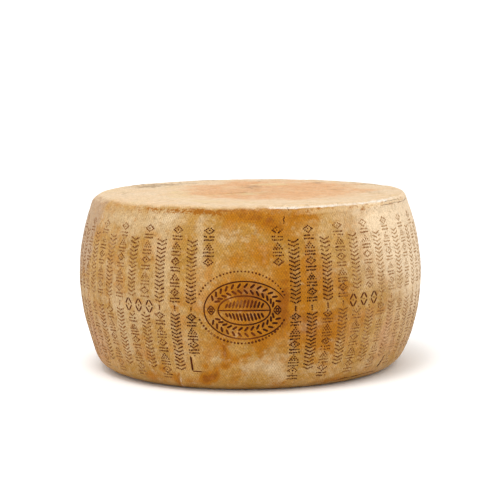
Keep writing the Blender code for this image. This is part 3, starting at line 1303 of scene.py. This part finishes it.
# %% Lay out the stamp
STAMP_STROKE = 0.0023
LEAF_STROKE = 0.0033
INNER_WIDE = 0.0313
INNER_TALL = 0.0178
ARC_WIDE = 0.0548
ARC_TALL = 0.0438
ARC_ASIDE = -0.0030
ARC_RISE = 0.0033
ARC_PIN_STEP = 0.0044
RING_POINTS = 160
RING_OPENING = math.radians(23)
RIGHT_WIDE = 0.0519
STAMP_INK, STAMP_INK_RIGHT = 0.94, 0.42


def from_stamp(across, up):
    """Turn and height of a point given in metres from the stamp's middle."""
    return STAMP_TURN + np.asarray(across) / BELLY_RADIUS, STAMP_HEIGHT + np.asarray(up)


def oval(wide, tall, points=RING_POINTS):
    """Points of an oval: (wide cos t, tall sin t)."""
    angle = np.arange(points) * math.tau / points
    return wide * np.cos(angle), tall * np.sin(angle)


def open_ring():
    """The outer oval, wider on the right, where a gap of twice the opening angle is left."""
    angle = np.linspace(RING_OPENING, math.tau - RING_OPENING, RING_POINTS)
    wide = np.where(np.cos(angle) > 0, RIGHT_WIDE, STAMP_WIDE)
    return wide * np.cos(angle), STAMP_TALL * np.sin(angle)


def between(start, end, points=7):
    """Evenly spaced points on the straight line between two places."""
    share = np.linspace(0, 1, points)
    return start[0] + (end[0] - start[0]) * share, start[1] + (end[1] - start[1]) * share


def stamp_ink(across, up):
    """Ink of the stamp: darkest at the right, weak at the upper left and below the middle."""
    right = smooth(np.asarray(across), -0.010, 0.045)
    weak = 0.40 * hump(np.hypot((across + 0.008) / 0.022, (up - 0.010) / 0.012), 1.0)
    weak = weak + 0.45 * hump(np.hypot((across - 0.004) / 0.026, (up + 0.034) / 0.008), 1.0)
    return STAMP_INK + STAMP_INK_RIGHT * right - weak


def leaf(root, ahead, outward, length=0.0074):
    """A leaf: a straight stroke from near its root, half ahead and half outwards."""
    near = root + 0.0009 * outward
    return between(near, near + length * (0.68 * ahead + 0.73 * outward))


def garland(start, end, count=13):
    """Pairs of leaves along the oval halfway between the rings, from one angle to another."""
    lines = []
    for angle in np.linspace(start, end, count):
        root = np.array([VINE_WIDE * math.cos(angle), VINE_TALL * math.sin(angle)])
        along = unit(np.array([-VINE_WIDE * math.sin(angle), VINE_TALL * math.cos(angle)]))
        ahead = along * np.sign(end - start)
        outward = np.array([ahead[1], -ahead[0]])
        lines += [leaf(root, ahead, outward), leaf(root, ahead, -outward)]
    return lines


def middle_ear(count=11, reach=0.0225):
    """Upright slanting grains above and below the line across the middle of the seal."""
    lines = []
    for across in np.linspace(-reach, reach - 0.002, count):
        tall = INNER_TALL * math.sqrt(1 - (across / INNER_WIDE) ** 2) - 0.0052
        for side in (-1, 1):
            tip = (across + 0.0030, side * (0.0010 + tall))
            lines.append(between((across, side * 0.0028), tip))
    return lines


def small_lozenge(middle, wide=0.0048, tall=0.0060):
    """Four straight strokes, one for each side of an upright lozenge."""
    lower = [between((middle + side * wide, 0.0), (middle, -tall), 5) for side in (-1, 1)]
    upper = [between((middle + side * wide, 0.0), (middle, tall), 5) for side in (-1, 1)]
    return lower + upper


VINE_WIDE, VINE_TALL = (STAMP_WIDE + INNER_WIDE) / 2, (STAMP_TALL + INNER_TALL) / 2
VINE_END = math.radians(24)
upper_ends, lower_ends = (math.pi - VINE_END, VINE_END), (math.pi + VINE_END, math.tau - VINE_END)
leaves = garland(*upper_ends) + garland(*lower_ends)
middle_line = [between((-INNER_WIDE, 0.0), (INNER_WIDE, 0.0), 40)]
ends = small_lozenge(VINE_WIDE) + small_lozenge(-VINE_WIDE)
ends += small_lozenge(VINE_WIDE, 0.0020, 0.0026) + small_lozenge(-VINE_WIDE, 0.0020, 0.0026)

outer, inner = open_ring(), oval(INNER_WIDE, INNER_TALL)
strokes = [(*from_stamp(*outer), STAMP_STROKE), (*from_stamp(*inner), STAMP_STROKE, True)]
inks = [stamp_ink(*outer), stamp_ink(*inner)]
for width, lines in ((STAMP_STROKE, middle_line + ends), (LEAF_STROKE, leaves + middle_ear())):
    for line in lines:
        strokes.append((*from_stamp(*line), width))
        inks.append(stamp_ink(*line))
stamp_rings = ribbons("oval_stamp", strokes, inks)


def arc_pins(low_end, high_end):
    """Pins along part of the dotted oval, at even steps of length."""
    angle = np.linspace(low_end, high_end, 400)
    across, up = ARC_ASIDE + ARC_WIDE * np.cos(angle), ARC_RISE + ARC_TALL * np.sin(angle)
    length = np.concatenate([[0], np.cumsum(np.hypot(np.diff(across), np.diff(up)))])
    stops = np.arange(0, length[-1], ARC_PIN_STEP)
    places = from_stamp(np.interp(stops, length, across), np.interp(stops, length, up))
    return np.stack(places, axis=-1)


ARC_END = math.radians(20)
UPPER_DOT, LOWER_DOT = 0.00122, 0.00150
upper_arc = arc_pins(ARC_END, math.pi - ARC_END)
lower_arc = arc_pins(math.pi + ARC_END, math.tau - ARC_END)
upper_dots = dots("upper_stamp_dots", upper_arc, 43, UPPER_DOT)
lower_dots = dots("lower_stamp_dots", lower_arc, 45, LOWER_DOT)

# %% [markdown]
# ## Lozenge marks and the corner mark
#
# Beside the stamp, right and left, stand three tall lozenges, each of four strokes that don't
# meet, as a stencil leaves them, with a dot in each middle and one beside its foot. A plain corner
# closes the column left of the stamp. A Mirror modifier could copy one group to the other side,
# but the groups stand at different heights, so one function lays each out on the skin.

# %% Lozenges and corner
MARK_PITCH = 0.0170
MARK_HALF_WIDE = 0.0056
MARK_HALF_TALL = 0.0088
MARK_STROKE = 0.0026
MARK_INK = 0.88
MARK_DOT = 0.0011
STROKE_GAP = 0.08
CORNER_LEFT = math.radians(-20.3)
CORNER_RIGHT = math.radians(-17.0)
CORNER_FOOT = 0.0267


def stencil_lozenge():
    """Four strokes along the sides of a lozenge, each stopping short of the corners."""
    corners = [np.array(c) for c in ((-1, 0), (0, 1), (1, 0), (0, -1), (-1, 0))]
    size = np.array([MARK_HALF_WIDE, MARK_HALF_TALL])
    return [
        between((a + (b - a) * STROKE_GAP) * size, (b - (b - a) * STROKE_GAP) * size)
        for a, b in zip(corners[:-1], corners[1:])
    ]


strokes, inks, foot_dots = [], [], []
for group_turn, group_height in MARK_GROUPS:
    for place in (-1, 0, 1):
        turn = group_turn + place * MARK_PITCH / BELLY_RADIUS
        for across, up in stencil_lozenge():
            strokes.append((turn + across / BELLY_RADIUS, group_height + up, MARK_STROKE))
            inks.append(MARK_INK)
        foot_dots.append((turn + MARK_PITCH / 2 / BELLY_RADIUS, group_height - MARK_HALF_TALL))
        foot_dots.append((turn, group_height))
lozenge_marks = ribbons("lozenge_marks", strokes, inks)
mark_dots = dots("lozenge_dots", np.array(foot_dots), 44, radius=MARK_DOT)

upright = between((CORNER_LEFT, CORNER_TOP), (CORNER_LEFT, CORNER_FOOT), 12)
bottom = between((CORNER_LEFT, CORNER_FOOT), (CORNER_RIGHT, CORNER_FOOT), 10)
corner_mark = ribbons("corner_mark", [(*upright, 0.0032), (*bottom, 0.0020)], [0.95, 0.80])

# %% [markdown]
# ## Cracks, and a painted shadow along the foot
#
# An old rind dries and splits in a few places: under the lip, near the rim, and low on the right
# where it has been set down hard. They could be cut with a Boolean, which is slow on so fine a
# skin. The cracks are the same ribbons with ragged widths, dark brown inside, and so is a painted
# shadow along the foot on the right, where the foot curves under.

# %% Cracks and the painted foot shadow at their places: start and end in degrees and mm, width and wander in mm
CRACKS_AND_FOOT_SHADOW = (
    ((52.0, 220.6), (80.0, 219.8), 0.6, 0.4),
    ((55.0, 223.8), (68.0, 223.0), 0.6, 0.6),
    ((11.6, 216.5), (10.8, 206.8), 1.7, 0.8),
    ((13.0, 226.0), (13.3, 221.5), 0.9, 0.3),
    ((53.8, 30.0), (51.4, 14.8), 3.3, 0.7),
    # The last line is no crack: it is painted shadow along the foot on the right, where it curves under.
    ((30.0, 6.6), (52.0, 9.6), 2.0, 0.6),
)


def crack(start, end, width, wander, seed):
    """A line between two places (degrees, mm) that wanders by some mm, with a ragged width."""
    draw = np.random.default_rng(seed)
    share = np.linspace(0, 1, 28)
    drift = np.interp(share, np.linspace(0, 1, 9), draw.normal(size=9) * wander)
    turn = np.radians(start[0] + (end[0] - start[0]) * share)
    rise = (start[1] + (end[1] - start[1]) * share) * MM
    steep = abs(end[1] - start[1]) > abs(end[0] - start[0]) * 2
    if steep:
        turn = turn + drift * MM / BELLY_RADIUS
    else:
        rise = rise + drift * MM
    ragged = width * MM * (0.35 + 0.9 * np.interp(share, np.linspace(0, 1, 12), draw.random(12)))
    return turn, rise, ragged


# The cracks, and the painted shadow line along the foot.
cracks_and_foot_shadow = ribbons(
    "rind_cracks_and_foot_shadow",
    [crack(*line, seed) for seed, line in enumerate(CRACKS_AND_FOOT_SHADOW, start=51)],
    [0.95] * len(CRACKS_AND_FOOT_SHADOW),
)

# %% [markdown]
# ## Ink
#
# The ink is a dark brown that has faded by place. Each strength could have a material of its
# own. Here one serves all the marks: it reads each mark's own strength of ink and adds a little
# cloudiness, so that hardly two dots match.

# %% Ink finish
INK_DARK = colour(60, 22, 8)
INK_BROWN = colour(104, 48, 14)
INK_FADED = colour(152, 98, 48)
INK_WORN = colour(196, 150, 102)
INK_SHINE = 0.05


def ink_finish():
    """Worn to faded to brown to dark by the mark's strength, cloudy, with a dull gloss."""
    finish = Finish("ink_finish")
    cloudy = cloud(finish, 160, -0.12, 0.12)
    strength = finish.sum("ADD", finish.mask("ink"), cloudy)
    tone = finish.mix(finish.ramp(strength, 0.00, 0.38), INK_WORN, INK_FADED)
    tone = finish.mix(finish.ramp(strength, 0.38, 0.72), tone, INK_BROWN)
    tone = finish.mix(finish.ramp(strength, 0.72, 1.10), tone, INK_DARK)
    finish.feed(finish.shader.inputs["Base Color"], tone)
    finish.feed(finish.shader.inputs["Roughness"], finish.ramp(cloudy, -0.15, 0.15, 0.55, 0.70))
    finish.shader.inputs["Specular IOR Level"].default_value = INK_SHINE
    finish.feed(finish.shader.inputs["Normal"], finish.bump(finish.noise(900, 3), 0.0002, 0.6))
    return finish.material


ink = ink_finish()
columns, lone_marks = [chain_dots, ear_dots], [lozenge_marks, mark_dots, corner_mark, cracks_and_foot_shadow]
marks = columns + [stamp_rings, upper_dots, lower_dots] + lone_marks
for piece in marks:
    piece.data.materials.append(ink)
    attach(piece, "root")
print("inked pieces:", len(marks))

# %% [markdown]
# ## Floor and light
#
# The wheel stands on a plain pale floor in soft studio light. Three lamps could light it from
# three sides. One large soft lamp overhead lights the top, and the white surroundings fill the
# shadows, as a white tent would, which leaves no hard shadow on the floor.

# %% Floor
FLOOR_RADIUS = 6.0


def disc(radius, corners=96):
    """A flat disc: a middle point and a ring of corners."""
    angle = np.arange(corners) * math.tau / corners
    ring = np.stack([radius * np.cos(angle), radius * np.sin(angle), 0 * angle], axis=-1)
    here = np.arange(corners)
    fan = np.stack([here, np.roll(here, -1), here * 0 + corners], axis=-1)
    return np.concatenate([ring, [(0.0, 0.0, 0.0)]]), fan


floor = make_piece("floor", *disc(FLOOR_RADIUS))
floor_finish = Finish("floor_finish")
dim, bright = colour(251, 251, 250, 1.0), colour(254, 254, 253, 1.0)
floor_tone = floor_finish.mix(floor_finish.noise(3, 2), dim, bright)
floor_finish.feed(floor_finish.shader.inputs["Base Color"], floor_tone)
floor_finish.shader.inputs["Roughness"].default_value = 0.8
floor.data.materials.append(floor_finish.material)

# %% Light
LAMP_PLACE = (-0.35, -0.95, 2.4)
LAMP_SIZE = 1.2
LAMP_POWER = 28.0
SKY_STRENGTH = 1.18

lamp_data = bpy.data.lights.new("soft_lamp", "AREA")
lamp_data.shape = "DISK"
lamp_data.size = LAMP_SIZE
lamp_data.energy = LAMP_POWER
lamp = bpy.data.objects.new("soft_lamp", lamp_data)
lamp.location = LAMP_PLACE
lamp.rotation_euler = (-Vector(LAMP_PLACE)).to_track_quat("-Z", "Y").to_euler()
bpy.context.scene.collection.objects.link(lamp)

world = bpy.data.worlds.new("studio")
world.use_nodes = True
world.node_tree.nodes["Background"].inputs["Color"].default_value = (1.0, 1.0, 1.0, 1.0)
world.node_tree.nodes["Background"].inputs["Strength"].default_value = SKY_STRENGTH
bpy.context.scene.world = world
bpy.context.scene.view_settings.view_transform = "Standard"
print("lamp:", LAMP_POWER, "W,", LAMP_SIZE, "m across")
